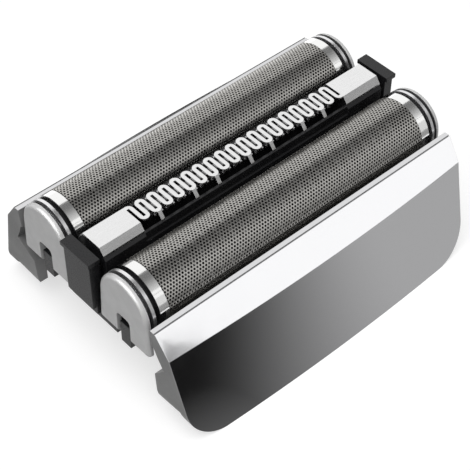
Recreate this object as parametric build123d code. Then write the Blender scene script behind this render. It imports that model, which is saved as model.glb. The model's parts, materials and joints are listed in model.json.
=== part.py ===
from build123d import *
import math
import os

# Shaver foil head. X runs along the foils, Y across them (front is -Y), Z is up.
# The origin lies on the standing plane, under the middle of the head. Millimetres.

# Driving dimensions
PANEL_LENGTH = 46.8
AXIS_Z = 15.1
FOIL_RADIUS = 4.2
FOIL_SETBACK = 2.15
FOIL_SHEET = 0.2
FOIL_SKIRT = 1.5
FOIL_NOTCH = 0.7
FOIL_NOTCH_RISE = 1.0
FOIL_BAND = 1.65
TRIMMER_WIDTH = 5.0
FLOAT_TRAVEL = 1.2
CUTTER_STROKE = 1.2
TRIMMER_STROKE = 0.8

# Clearances
TRIMMER_GAP = 0.4
LEDGE_GAP = 0.6
FLOAT_MARGIN = 0.4
SLIDE_GAP = 0.2
RUN_GAP = 0.1
FIT_GAP = 0.02
END_GAP = 0.8

# Foil end caps
CAP_RADIUS = 4.1
CAP_FLARE = 4.45
CAP_CORNER = 0.6
CAP_DROP = 5.0
CAP_THICKNESS = 0.65
CAP_RIM = 0.5
CAP_SLOT_WIDTH = 2.3
CAP_SLOT_TOP = 1.5
CAP_SLOT_ROUND = 0.6
RING_GAP = 0.6
RING_THICKNESS = 0.4
RING_OVERLAP = 0.05
GROOVE_WIDTH = 0.45
GROOVE_DEPTH = 0.65
PEG_RADIUS = 1.2
PEG_LENGTH = 0.6

# Foil frame
RAIL_WALL = 0.7
RAIL_STEP = 0.5
FRAME_DEPTH = 3.8
HUB_LENGTH = 2.6
LEDGE_WIDTH = 0.7
LEDGE_HEIGHT = 0.5
RUNNER_LENGTH = 26.0
LUG_STATION = 12.0
LUG_LENGTH = 2.4
LUG_HEIGHT = 0.9
LUG_HEADROOM = 0.35

# Grid of openings in the foils, coarser than the real holes
MESH_COLUMNS = 10
MESH_ROWS = 10
MESH_ARC = 165.0
MESH_BAR = 0.5

# Springs that carry the floating units
SPRING_RADIUS = 1.05
SPRING_WIRE = 0.3
SPRING_TURNS = 2.5
SEAT_PIN_RADIUS = 0.6
SEAT_PIN_HEIGHT = 1.0
POCKET_DEPTH = 2.4

# Inner cutters
BLADE_THICKNESS = 0.25
BLADE_PITCH = 1.5
BLADE_BAND = 1.1
BLADE_LEG = 0.9
WINDOW_SHOULDER = 1.0
WINDOW_TOP_WIDTH = 2.6
BLADE_FOOT = 0.15
BLADE_TANG = 0.6
CARRIER_HEIGHT = 1.3
CARRIER_END = 0.5
BRIDGE_LENGTH = 22.0
BRIDGE_THICKNESS = 0.6
BRIDGE_PIN_RADIUS = 0.8
BRIDGE_PIN_STATION = 9.5
BRIDGE_PIN_ENTRY = 0.8
BOSS_LENGTH = 5.2
BOSS_WIDTH = 4.4
BOSS_DROP = 2.5
SOCKET_RADIUS = 1.5
SOCKET_DEPTH = 3.8
SOCKET_LEAD = 0.3
LEAF_SPAN = 15.0
LEAF_WIDTH = 2.4
LEAF_THICKNESS = 0.2

# Frame of the head
DECK_THICKNESS = 1.0
SIDE_RAIL_WALL = 1.0
BEAM_HALF_WIDTH = 8.6
TONGUE_RECESS = 0.2
END_RIB_HALF = 4.5
END_RIB_DROP = 1.0
WALL_THICKNESS = 0.8
WALL_FOOT = 1.3
WALL_PROUD = 0.55
WALL_SIDE_GAP = 0.35
LIP_OVERHANG = 0.25
LIP_HEIGHT = 0.6
LIP_WIDTH = 5.1
LIP_DROP = 0.35
GUIDE_RIB = 0.6
GUIDE_TOP = 1.4
WINDOW_LENGTH = 28.0
WINDOW_WIDTH = 5.8

# Trim panels
LEDGE_RISE = 0.6
LEDGE_BAND = 0.8
GROOVE_STEP = 0.15
BEVEL_RUN = 1.9
BEVEL_DROP = 2.95
PANEL_LEAN = 0.26
PANEL_BOW = 0.9
PANEL_TAPER = 0.057
PANEL_CORNER = 5.0
PANEL_WALL = 1.4
END_PLATE = 2.0
THROAT_DEPTH = 1.6
THROAT_Z = 9.8
HOOK_Z = 7.6
FOOT_BOTTOM = 3.5
SHORT_FOOT = 0.2
LONG_FOOT = 1.2
RIB_THICKNESS = 1.2
RIB_STATIONS = (-16.0, -7.0, 7.0, 16.0)
RIB_HOOK = 0.8
RIB_BOTTOM = 5.0

# Trimmer
COMB_DROP = 0.27
COMB_SHEET = 0.25
COMB_FLAT = 3.0
COMB_WIDTH = 4.3
COMB_SIDE_DROP = 0.85
COMB_TURN_PITCH = 0.852
COMB_BAR = 0.5
COMB_PLATE_LENGTH = 5.6
FINGER_WIDTH = 0.5
TROUGH_WALL = 0.6
TROUGH_FLOOR = 1.0
TROUGH_DEPTH = 2.9
SIDE_BEAD = 0.2
SIDE_BEAD_DROP = 1.2
GUIDE_TONGUE_WIDTH = 1.8
SNAP_STATION = 12.0
SNAP_LENGTH = 1.0
SNAP_WIDTH = 2.0
SNAP_TOE = 0.7
BLADE_SPINE = 0.8
TOOTH_WIDTH = 0.45
TOOTH_BLADE_SHEET = 0.3
SLIDER_HEAD_WIDTH = 1.8
SLIDER_BASE_HEIGHT = 1.1
FORK_LENGTH = 5.0
FORK_WIDTH = 2.0
FORK_SLOT = 1.6
FORK_SLOT_DEPTH = 2.4
FORK_DROP = 2.5

# Stations worked out from the sizes above
FOIL_Y = TRIMMER_WIDTH / 2 + TRIMMER_GAP + FOIL_RADIUS
LEDGE_Y = FOIL_Y + FOIL_RADIUS + LEDGE_GAP
LEDGE_Z = AXIS_Z + LEDGE_RISE
FOIL_END = PANEL_LENGTH / 2 - FOIL_SETBACK
HUB_RADIUS = FOIL_RADIUS - FOIL_SHEET
RING_X = FOIL_END + RING_GAP
CAP_X = RING_X + RING_THICKNESS + GROOVE_WIDTH
CAP_FACE = CAP_X + CAP_THICKNESS
SLOT_TOP_Z = AXIS_Z - CAP_SLOT_TOP
FRAME_BOTTOM = AXIS_Z - FRAME_DEPTH
RAIL_TOP = AXIS_Z - RAIL_STEP
DECK_TOP = FRAME_BOTTOM - FLOAT_TRAVEL - FLOAT_MARGIN
DECK_BOTTOM = DECK_TOP - DECK_THICKNESS
BEAM_END = CAP_X - SLIDE_GAP - RUN_GAP
WALL_X = CAP_FACE - WALL_THICKNESS
WALL_FACE = CAP_FACE + WALL_PROUD
WALL_HALF = FOIL_Y - CAP_FLARE - WALL_SIDE_GAP
SPRING_X = FOIL_END - HUB_LENGTH / 2
POCKET_RADIUS = SPRING_RADIUS + SPRING_WIRE / 2 + SLIDE_GAP
EDGE_Y = LEDGE_Y + LEDGE_BAND + BEVEL_RUN
EDGE_Z = LEDGE_Z - BEVEL_DROP
LUG_TOP = EDGE_Z - LUG_HEADROOM
LUG_BOTTOM = LUG_TOP - LUG_HEIGHT
SIDE_RAIL_Y = EDGE_Y - PANEL_WALL - SIDE_RAIL_WALL - FIT_GAP
SIDE_RAIL_END = PANEL_LENGTH / 2 - END_PLATE - SLIDE_GAP - PANEL_TAPER * BEVEL_DROP
COMB_TOP = AXIS_Z + FOIL_RADIUS - COMB_DROP
COMB_UNDER = COMB_TOP - COMB_SHEET
COMB_END = WALL_X - END_GAP
COMB_TURNS = 2 * int(((2 * (COMB_END - COMB_PLATE_LENGTH)) / COMB_TURN_PITCH - 1.5) / 2)
PLATE_INNER = (COMB_TURNS / 2 + 1) * COMB_TURN_PITCH - COMB_BAR / 2
TROUGH_FLOOR_TOP = AXIS_Z - TROUGH_DEPTH + TROUGH_FLOOR
TROUGH_BOTTOM = AXIS_Z - TROUGH_DEPTH
TROUGH_TOP = COMB_UNDER - COMB_SIDE_DROP
TROUGH_HALF = TRIMMER_WIDTH / 2 - TROUGH_WALL


def block(x0, x1, y0, y1, z0, z1):
    """Box between two corners."""
    centre = Pos((x0 + x1) / 2, (y0 + y1) / 2, (z0 + z1) / 2)
    return centre * Box(abs(x1 - x0), abs(y1 - y0), abs(z1 - z0))


def along_x(face, x0, x1):
    """Solid from a face drawn with (y, z) coordinates, from x0 to x1."""
    return extrude(Plane.YZ.offset(x0) * face, x1 - x0)


def polygon(*points):
    """Face inside straight edges through the points."""
    return make_face(Polyline(*points, close=True))


def post(x, y, radius, z0, z1):
    """Upright cylinder from z0 to z1."""
    return Pos(x, y, (z0 + z1) / 2) * Cylinder(radius, z1 - z0)


def both_ends(piece):
    """A piece together with its mirror image at the other end of the head."""
    return piece + mirror(piece, Plane.YZ)


def half_turn(piece):
    """The same piece on the front side, turned half round the head's middle."""
    return piece.rotate(Axis.Z, 180)


def arch(radius, bottom):
    """Half round over the foil axis, carried straight down to a flat bottom; (y, z) face."""
    left = FOIL_Y - radius
    right = FOIL_Y + radius
    outline = Line((left, bottom), (right, bottom))
    outline += Line((right, bottom), (right, AXIS_Z))
    outline += ThreePointArc((right, AXIS_Z), (FOIL_Y, AXIS_Z + radius), (left, AXIS_Z))
    outline += Line((left, AXIS_Z), (left, bottom))
    return make_face(outline)


def coil(x, y, z0, z1):
    """Compression spring of square wire between two seats."""
    rise = z1 - z0 - SPRING_WIRE
    path = Helix(pitch=rise / SPRING_TURNS, height=rise, radius=SPRING_RADIUS)
    start = Plane(origin=path @ 0, z_dir=path % 0)
    wire = sweep(start * Rectangle(SPRING_WIRE, SPRING_WIRE), path, is_frenet=True)
    return Pos(x, y, z0 + SPRING_WIRE / 2) * wire


def face_y(z):
    """Outer face of a trim panel at its ends, at height z."""
    return EDGE_Y + PANEL_LEAN * (EDGE_Z - z)


def panel_section(z, inner, outer, bow):
    """Level section of a trim panel, wider than the panel itself."""
    half = PANEL_LENGTH / 2 + END_PLATE
    outline = Line((-half, inner), (half, inner))
    outline += Line((half, inner), (half, outer))
    if bow > 0:
        outline += ThreePointArc((half, outer), (0, outer + bow), (-half, outer))
    else:
        outline += Line((half, outer), (-half, outer))
    outline += Line((-half, outer), (-half, inner))
    return Plane.XY.offset(z) * make_face(outline)


def panel_front_view():
    """Front outline of a trim panel: tapered ends and rounded lower corners; (x, z) prism."""
    top = PANEL_LENGTH / 2
    bottom = top - PANEL_TAPER * LEDGE_Z
    points = [(-bottom, 0), (bottom, 0), (top, LEDGE_Z), (-top, LEDGE_Z)]
    face = polygon(*points)
    low = face.vertices().sort_by(Axis.Y)[:2]
    face = fillet(low, PANEL_CORNER)
    reach = face_y(0) + PANEL_BOW + PANEL_WALL
    return extrude(Plane.XZ * face, -reach)


def panel_shell():
    """Bead, bevel and leaning apron of the rear trim panel, before its ends are trimmed."""
    crest = LEDGE_Y + LEDGE_BAND
    top = panel_section(LEDGE_Z, LEDGE_Y, crest, 0)
    edge = panel_section(EDGE_Z, LEDGE_Y, EDGE_Y, PANEL_BOW)
    foot = panel_section(0, LEDGE_Y, face_y(0), PANEL_BOW)
    bead = loft([edge, top], ruled=True)
    apron = loft([foot, edge], ruled=True)
    inside_top = panel_section(EDGE_Z, 0, EDGE_Y - PANEL_WALL, PANEL_BOW)
    inside_foot = panel_section(0, 0, face_y(0) - PANEL_WALL, PANEL_BOW)
    apron -= loft([inside_foot, inside_top], ruled=True)
    groove = block(-PANEL_LENGTH, PANEL_LENGTH, crest - GROOVE_STEP, crest,
                   LEDGE_Z - GROOVE_STEP, LEDGE_Z)
    return bead - groove + apron


def end_plate(inner_y, x0, x1):
    """Hooked plate at one end of the rear panel; inner_y is how far the hook reaches in."""
    bite = PANEL_WALL / 2
    outline = [
        (LEDGE_Y, EDGE_Z + bite),
        (LEDGE_Y + THROAT_DEPTH / 2, THROAT_Z + THROAT_DEPTH),
        (LEDGE_Y + THROAT_DEPTH, THROAT_Z),
        (inner_y, HOOK_Z),
        (inner_y, FOOT_BOTTOM),
        (face_y(FOOT_BOTTOM) - bite, FOOT_BOTTOM + bite),
        (face_y(EDGE_Z) - bite, EDGE_Z + bite),
    ]
    return along_x(polygon(*outline), x0, x1)


def panel_rib(x):
    """Upright rib inside the rear panel, with a hook under the side rail of the head's frame."""
    back = SIDE_RAIL_Y + SIDE_RAIL_WALL
    bite = PANEL_WALL / 4
    outline = [
        (back, EDGE_Z),
        (back, DECK_BOTTOM),
        (back - RIB_HOOK, DECK_BOTTOM),
        (back - RIB_HOOK, DECK_BOTTOM - RIB_HOOK),
        (back, DECK_BOTTOM - 2 * RIB_HOOK),
        (face_y(RIB_BOTTOM) - bite, RIB_BOTTOM),
        (face_y(EDGE_Z) - bite, EDGE_Z),
    ]
    return along_x(polygon(*outline), x - RIB_THICKNESS / 2, x + RIB_THICKNESS / 2)


def trim_panel():
    """Rear trim panel."""
    outer = PANEL_LENGTH / 2
    inner = outer - END_PLATE
    panel = panel_shell()
    panel += end_plate(LEDGE_Y - LONG_FOOT, -outer, -inner)
    panel += end_plate(LEDGE_Y - SHORT_FOOT, inner, outer)
    for station in RIB_STATIONS:
        panel += panel_rib(station)
    return panel & panel_front_view()


def side_rail():
    """Upright rail of the head's frame behind the rear panel, with slots for the frame's lugs."""
    rail = block(-SIDE_RAIL_END, SIDE_RAIL_END, SIDE_RAIL_Y, SIDE_RAIL_Y + SIDE_RAIL_WALL,
                 DECK_BOTTOM, EDGE_Z)
    half = LUG_LENGTH / 2 + SLIDE_GAP
    slot = block(LUG_STATION - half, LUG_STATION + half, SIDE_RAIL_Y,
                 SIDE_RAIL_Y + SIDE_RAIL_WALL, LUG_BOTTOM - FLOAT_TRAVEL - SLIDE_GAP,
                 LUG_TOP + RUN_GAP)
    return rail - both_ends(slot)


def end_wall():
    """End wall between the caps at +X: foot, plate, inner guide ribs, and a proud pad with a lip."""
    guide_x = WALL_X - GUIDE_RIB
    tongue = GUIDE_TONGUE_WIDTH / 2 + SLIDE_GAP
    foot_top = DECK_TOP + WALL_FOOT
    lip_top = COMB_TOP - LIP_DROP
    wall = block(WALL_X, CAP_FACE, -WALL_HALF, WALL_HALF, DECK_TOP, lip_top)
    wall += block(guide_x, CAP_FACE, -WALL_HALF, WALL_HALF, DECK_TOP, foot_top)
    wall += block(CAP_FACE, WALL_FACE, -WALL_HALF, WALL_HALF, foot_top, lip_top)
    for side in (-1, 1):
        wall += block(guide_x, WALL_X, side * tongue, side * (tongue + GUIDE_RIB),
                      DECK_TOP, AXIS_Z + GUIDE_TOP)
    wall += block(WALL_X, WALL_FACE + LIP_OVERHANG, -LIP_WIDTH / 2, LIP_WIDTH / 2,
                  lip_top - LIP_HEIGHT, lip_top)
    return wall


def guide_tongue(y):
    """Upright tongue at +X that runs in the slot of a cap."""
    half = CAP_SLOT_WIDTH / 2 - SLIDE_GAP - RUN_GAP
    top = SLOT_TOP_Z - FLOAT_TRAVEL - SLIDE_GAP - RUN_GAP
    return block(BEAM_END - WALL_THICKNESS, CAP_FACE - TONGUE_RECESS, y - half, y + half,
                 DECK_BOTTOM, top)


def deck():
    """Level plate of the head's frame, with end ribs and windows for the bridges and trimmer."""
    width = SIDE_RAIL_Y + SIDE_RAIL_WALL
    plate = block(-SIDE_RAIL_END, SIDE_RAIL_END, -width, width, DECK_BOTTOM, DECK_TOP)
    plate += block(-BEAM_END, BEAM_END, -BEAM_HALF_WIDTH, BEAM_HALF_WIDTH, DECK_BOTTOM, DECK_TOP)
    rib = block(BEAM_END - WALL_THICKNESS, BEAM_END, -END_RIB_HALF, END_RIB_HALF,
                DECK_BOTTOM - END_RIB_DROP, DECK_BOTTOM)
    plate += both_ends(rib)
    for side in (-1, 1):
        middle = side * FOIL_Y
        plate -= block(-WINDOW_LENGTH / 2, WINDOW_LENGTH / 2, middle - WINDOW_WIDTH / 2,
                       middle + WINDOW_WIDTH / 2, DECK_BOTTOM, DECK_TOP)
    fork = FORK_LENGTH / 2 + TRIMMER_STROKE + 2 * SLIDE_GAP
    fork_side = FORK_WIDTH / 2 + 2 * SLIDE_GAP
    plate -= block(-fork, fork, -fork_side, fork_side, DECK_BOTTOM, DECK_TOP)
    snap = block(SNAP_STATION - SLIDE_GAP, SNAP_STATION + SNAP_LENGTH + SLIDE_GAP,
                 -SNAP_WIDTH / 2 - SLIDE_GAP, SNAP_WIDTH / 2 + SLIDE_GAP, DECK_BOTTOM, DECK_TOP)
    return plate - both_ends(snap)


def head_frame():
    """Moulded frame that joins the panels, carries the springs and guides the floating units."""
    frame = deck()
    rail = side_rail()
    frame += rail + half_turn(rail)
    end = end_wall()
    for y in (-FOIL_Y, 0, FOIL_Y):
        end += post(SPRING_X, y, SEAT_PIN_RADIUS, DECK_TOP, DECK_TOP + SEAT_PIN_HEIGHT)
    for y in (-FOIL_Y, FOIL_Y):
        end += guide_tongue(y)
    return frame + both_ends(end)


def foil_openings():
    """Cutters for the grid of openings in the rear foil's half round."""
    pitch = 2 * (FOIL_END - FOIL_BAND) / MESH_COLUMNS
    step = MESH_ARC / MESH_ROWS
    width = math.radians(step) * FOIL_RADIUS - MESH_BAR
    opening = Pos(0, 0, FOIL_RADIUS) * Box(pitch - MESH_BAR, width, 4 * FOIL_SHEET)
    cutters = []
    for row in range(MESH_ROWS):
        turn = Rot((row - (MESH_ROWS - 1) / 2) * step, 0, 0)
        for column in range(MESH_COLUMNS):
            place = Pos((column - (MESH_COLUMNS - 1) / 2) * pitch, FOIL_Y, AXIS_Z)
            cutters.append(place * turn * opening)
    return cutters


def foil():
    """Rear foil: open sheet bent over the frame, with plain end bands and notched lower corners."""
    low = AXIS_Z - FOIL_SKIRT
    section = arch(FOIL_RADIUS, low) - arch(HUB_RADIUS, low)
    sheet = along_x(section, -FOIL_END, FOIL_END)
    corners = block(FOIL_END - FOIL_NOTCH, FOIL_END, FOIL_Y - FOIL_RADIUS, FOIL_Y + FOIL_RADIUS,
                    low, AXIS_Z + FOIL_NOTCH_RISE)
    return sheet - both_ends(corners) - foil_openings()


def foil_frame():
    """Rear foil frame: two rails, a hub under each end of the foil, ledges and float lugs."""
    outer = HUB_RADIUS
    inner = HUB_RADIUS - RAIL_WALL
    frame = along_x(arch(HUB_RADIUS - FIT_GAP, RAIL_TOP), FOIL_END - HUB_LENGTH, FOIL_END)
    frame += block(FOIL_END - HUB_LENGTH, FOIL_END, FOIL_Y - outer, FOIL_Y + outer,
                   FRAME_BOTTOM, RAIL_TOP)
    frame -= post(SPRING_X, FOIL_Y, POCKET_RADIUS, FRAME_BOTTOM, FRAME_BOTTOM + POCKET_DEPTH)
    frame += along_x(arch(HUB_RADIUS - GROOVE_DEPTH, SLOT_TOP_Z), FOIL_END, RING_X)
    peg = Pos(RING_X + PEG_LENGTH / 2, FOIL_Y, AXIS_Z) * Rot(0, 90, 0)
    frame += peg * Cylinder(PEG_RADIUS, PEG_LENGTH)
    frame = both_ends(frame)
    for side in (-1, 1):
        frame += block(-FOIL_END, FOIL_END, FOIL_Y + side * inner, FOIL_Y + side * outer,
                       FRAME_BOTTOM, RAIL_TOP)
        frame += block(-RUNNER_LENGTH / 2, RUNNER_LENGTH / 2, FOIL_Y + side * (inner - LEDGE_WIDTH),
                       FOIL_Y + side * inner, FRAME_BOTTOM, FRAME_BOTTOM + LEDGE_HEIGHT)
    lug_tip = SIDE_RAIL_Y + SIDE_RAIL_WALL - SLIDE_GAP
    lug = block(LUG_STATION - LUG_LENGTH / 2, LUG_STATION + LUG_LENGTH / 2, FOIL_Y + outer,
                lug_tip, LUG_BOTTOM, LUG_TOP)
    return frame + both_ends(lug)


def cap_outline():
    """Tombstone outline of a cap: round top, flaring legs, rounded lower corners; (y, z) face."""
    bottom = AXIS_Z - CAP_DROP
    left = (FOIL_Y - CAP_RADIUS, AXIS_Z)
    right = (FOIL_Y + CAP_RADIUS, AXIS_Z)
    outline = ThreePointArc(left, (FOIL_Y, AXIS_Z + CAP_RADIUS), right)
    outline += Line(right, (FOIL_Y + CAP_FLARE, bottom))
    outline += Line((FOIL_Y + CAP_FLARE, bottom), (FOIL_Y - CAP_FLARE, bottom))
    outline += Line((FOIL_Y - CAP_FLARE, bottom), left)
    face = make_face(outline)
    return fillet(face.vertices().sort_by(Axis.Y)[:2], CAP_CORNER)


def end_cap():
    """Cap at +X of the rear foil unit: slotted plate, groove and ring, with a socket for the peg."""
    plate = along_x(cap_outline(), CAP_X, CAP_FACE)
    rim = plate.faces().sort_by(Axis.X)[-1].edges()
    plate = fillet(rim, CAP_RIM)
    bottom = AXIS_Z - CAP_DROP
    half = CAP_SLOT_WIDTH / 2
    slot = polygon((FOIL_Y - half, bottom), (FOIL_Y + half, bottom),
                   (FOIL_Y + half, SLOT_TOP_Z), (FOIL_Y - half, SLOT_TOP_Z))
    slot = fillet(slot.vertices().sort_by(Axis.Y)[2:], CAP_SLOT_ROUND)
    cap = plate - along_x(slot, CAP_X, CAP_FACE)
    cap += along_x(arch(HUB_RADIUS - GROOVE_DEPTH, SLOT_TOP_Z), RING_X, CAP_X)
    cap += along_x(arch(CAP_RADIUS + RING_OVERLAP, SLOT_TOP_Z), RING_X, RING_X + RING_THICKNESS)
    depth = PEG_LENGTH + FIT_GAP
    socket = Pos(RING_X + depth / 2, FOIL_Y, AXIS_Z) * Rot(0, 90, 0)
    return cap - socket * Cylinder(PEG_RADIUS + FIT_GAP, depth)


def foil_springs():
    """The two return springs below the rear foil unit."""
    return both_ends(coil(SPRING_X, FOIL_Y, DECK_TOP, FRAME_BOTTOM + POCKET_DEPTH))


BLADE_RADIUS = HUB_RADIUS - RUN_GAP
CARRIER_TOP = AXIS_Z - BLADE_FOOT
CARRIER_BOTTOM = CARRIER_TOP - CARRIER_HEIGHT
CARRIER_HALF = HUB_RADIUS - RAIL_WALL - SLIDE_GAP
CUTTER_END = FOIL_END - HUB_LENGTH - CUTTER_STROKE - SLIDE_GAP
BLADE_COUNT = 1 + int(2 * (CUTTER_END - CARRIER_END - BLADE_THICKNESS) / BLADE_PITCH)
BRIDGE_BOTTOM = FRAME_BOTTOM + LEDGE_HEIGHT + RUN_GAP
BRIDGE_TOP = BRIDGE_BOTTOM + BRIDGE_THICKNESS
BOSS_BOTTOM = DECK_TOP - BOSS_DROP


def blade_stations():
    """X of each blade's near face."""
    first = -(BLADE_COUNT - 1) * BLADE_PITCH / 2 - BLADE_THICKNESS / 2
    return [first + BLADE_PITCH * index for index in range(BLADE_COUNT)]


def blade_outline():
    """Arched blade with a window between two tangs that stand in the carrier; (y, z) face."""
    tang_bottom = CARRIER_TOP - BLADE_TANG
    side = CARRIER_HALF - BLADE_LEG
    shoulder = AXIS_Z + WINDOW_SHOULDER
    top = AXIS_Z + BLADE_RADIUS - BLADE_BAND
    top_half = WINDOW_TOP_WIDTH / 2
    face = arch(BLADE_RADIUS, CARRIER_TOP)
    face += polygon((FOIL_Y - CARRIER_HALF, tang_bottom), (FOIL_Y + CARRIER_HALF, tang_bottom),
                    (FOIL_Y + CARRIER_HALF, AXIS_Z), (FOIL_Y - CARRIER_HALF, AXIS_Z))
    window = polygon((FOIL_Y - side, tang_bottom), (FOIL_Y + side, tang_bottom),
                     (FOIL_Y + side, shoulder), (FOIL_Y + top_half, top),
                     (FOIL_Y - top_half, top), (FOIL_Y - side, shoulder))
    return face - window


def cutter_blades():
    """Row of thin blades of the rear cutter."""
    outline = blade_outline()
    return Compound([along_x(outline, x, x + BLADE_THICKNESS) for x in blade_stations()])


def cutter_carrier():
    """Plastic carrier of the rear cutter, slotted for the blades and bored for the bridge's pins."""
    carrier = block(-CUTTER_END, CUTTER_END, FOIL_Y - CARRIER_HALF, FOIL_Y + CARRIER_HALF,
                    CARRIER_BOTTOM, CARRIER_TOP)
    slots = [block(x, x + BLADE_THICKNESS, FOIL_Y - CARRIER_HALF, FOIL_Y + CARRIER_HALF,
                   CARRIER_TOP - BLADE_TANG, CARRIER_TOP) for x in blade_stations()]
    hole = post(BRIDGE_PIN_STATION, FOIL_Y, BRIDGE_PIN_RADIUS + FIT_GAP, CARRIER_BOTTOM,
                CARRIER_BOTTOM + BRIDGE_PIN_ENTRY)
    # Blind holes stay below the slots.
    return carrier - slots - both_ends(hole)


def drive_bridge():
    """Bridge that runs on the rear frame's ledges and carries the drive socket and two pins."""
    half = BRIDGE_LENGTH / 2
    bridge = block(-half, half, FOIL_Y - CARRIER_HALF, FOIL_Y + CARRIER_HALF,
                   BRIDGE_BOTTOM, BRIDGE_TOP)
    bridge += block(-BOSS_LENGTH / 2, BOSS_LENGTH / 2, FOIL_Y - BOSS_WIDTH / 2,
                    FOIL_Y + BOSS_WIDTH / 2, BOSS_BOTTOM, BRIDGE_BOTTOM)
    bridge -= post(0, FOIL_Y, SOCKET_RADIUS, BOSS_BOTTOM, BOSS_BOTTOM + SOCKET_DEPTH)
    mouth = bridge.edges().filter_by(GeomType.CIRCLE).sort_by(Axis.Z)[0]
    bridge = chamfer(mouth, SOCKET_LEAD)
    pin = post(BRIDGE_PIN_STATION, FOIL_Y, BRIDGE_PIN_RADIUS, BRIDGE_TOP,
               CARRIER_BOTTOM + BRIDGE_PIN_ENTRY - RUN_GAP)
    return bridge + both_ends(pin)


def leaf_spring():
    """Bowed leaf that presses the rear cutter up from its bridge."""
    half = LEAF_SPAN / 2
    crown = CARRIER_BOTTOM
    low = ThreePointArc((-half, BRIDGE_TOP), (0, crown - LEAF_THICKNESS), (half, BRIDGE_TOP))
    step = BRIDGE_TOP + LEAF_THICKNESS
    outline = low + Line((half, BRIDGE_TOP), (half, step))
    outline += ThreePointArc((half, step), (0, crown), (-half, step))
    outline += Line((-half, step), (-half, BRIDGE_TOP))
    leaf = extrude(Plane.XZ * make_face(outline), LEAF_WIDTH / 2, both=True)
    return Pos(0, FOIL_Y, 0) * leaf


def roof(top, sheet):
    """Section of a comb plate: flat top and two sloped sides; (y, z) face."""
    flat = COMB_FLAT / 2
    edge = COMB_WIDTH / 2
    return polygon((-edge, top - COMB_SIDE_DROP), (-flat, top), (flat, top),
                   (edge, top - COMB_SIDE_DROP), (edge, top - COMB_SIDE_DROP - sheet),
                   (flat, top - sheet), (-flat, top - sheet), (-edge, top - COMB_SIDE_DROP - sheet))


def trimmer_carrier():
    """Trough that holds the trimmer: end blocks under the comb plates, side walls and floor."""
    edge = TRIMMER_WIDTH / 2
    block_start = PLATE_INNER
    flat = COMB_FLAT / 2
    shoulder = COMB_WIDTH / 2
    under = COMB_UNDER - COMB_SIDE_DROP
    side_top = under - (edge - shoulder)
    solid = polygon((-edge, TROUGH_BOTTOM), (edge, TROUGH_BOTTOM), (edge, side_top),
                    (shoulder, under), (flat, COMB_UNDER), (-flat, COMB_UNDER),
                    (-shoulder, under), (-edge, side_top))
    end = along_x(solid, block_start, COMB_END)
    end += block(COMB_END, WALL_X - RUN_GAP, -GUIDE_TONGUE_WIDTH / 2, GUIDE_TONGUE_WIDTH / 2,
                 DECK_TOP + WALL_FOOT + FLOAT_TRAVEL + SLIDE_GAP, AXIS_Z + GUIDE_TOP)
    end -= post(SPRING_X, 0, POCKET_RADIUS, TROUGH_BOTTOM, FRAME_BOTTOM + POCKET_DEPTH)
    leg_bottom = DECK_BOTTOM - SNAP_TOE - RUN_GAP
    end += block(SNAP_STATION, SNAP_STATION + SNAP_LENGTH, -SNAP_WIDTH / 2, SNAP_WIDTH / 2,
                 leg_bottom, TROUGH_BOTTOM)
    end += block(SNAP_STATION + SNAP_LENGTH, SNAP_STATION + SNAP_LENGTH + SNAP_TOE,
                 -SNAP_WIDTH / 2, SNAP_WIDTH / 2, leg_bottom, DECK_BOTTOM - RUN_GAP)
    carrier = block(-block_start, block_start, -edge, edge, TROUGH_BOTTOM, TROUGH_FLOOR_TOP)
    carrier += both_ends(end)
    bead = TROUGH_TOP - SIDE_BEAD_DROP
    for side in (-1, 1):
        carrier += block(-block_start, block_start, side * TROUGH_HALF, side * edge,
                         TROUGH_FLOOR_TOP, bead)
        carrier += block(-block_start, block_start, side * TROUGH_HALF, side * (edge - SIDE_BEAD),
                         bead, TROUGH_TOP)
    fork = FORK_LENGTH / 2 + TRIMMER_STROKE + SLIDE_GAP
    return carrier - block(-fork, fork, -FORK_WIDTH / 2 - SLIDE_GAP, FORK_WIDTH / 2 + SLIDE_GAP,
                           TROUGH_BOTTOM, TROUGH_FLOOR_TOP)


def turn_x(index):
    """X of a turn of the comb's wave; even turns are at the front."""
    return (index - (COMB_TURNS - 1) / 2) * COMB_TURN_PITCH


def comb_turn(x, side):
    """Half-round turn that joins two bars of the wave at one side; (x, y) face."""
    outer = (COMB_TURN_PITCH + COMB_BAR) / 2
    inner = (COMB_TURN_PITCH - COMB_BAR) / 2
    root = COMB_FLAT / 2 - outer
    ring = Circle(outer) & Pos(0, outer / 2) * Rectangle(2 * outer, outer)
    ring -= Rectangle(2 * inner, 2 * inner)
    if side < 0:
        ring = Rot(0, 0, 180) * ring
    return Pos(x, side * root) * ring


def has_finger(index):
    """Whether a turn of the wave has a finger folded to the side."""
    order = index // 2 + 1
    wanted = (0, 2) if index % 2 == 0 else (1, 4)
    return order % 5 in wanted


def comb_finger(x, side):
    """Finger from a turn of the wave, folded down like the plates' sides onto the trough's wall."""
    root = side * (COMB_FLAT - COMB_BAR) / 2
    fold = side * COMB_FLAT / 2
    tip = side * COMB_WIDTH / 2
    heel = tip - side * COMB_SHEET
    leg = polygon((root, COMB_TOP), (fold, COMB_TOP), (tip, COMB_TOP - COMB_SIDE_DROP),
                  (tip, TROUGH_TOP), (heel, TROUGH_TOP), (fold, COMB_UNDER), (root, COMB_UNDER))
    return along_x(leg, x - FINGER_WIDTH / 2, x + FINGER_WIDTH / 2)


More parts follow.
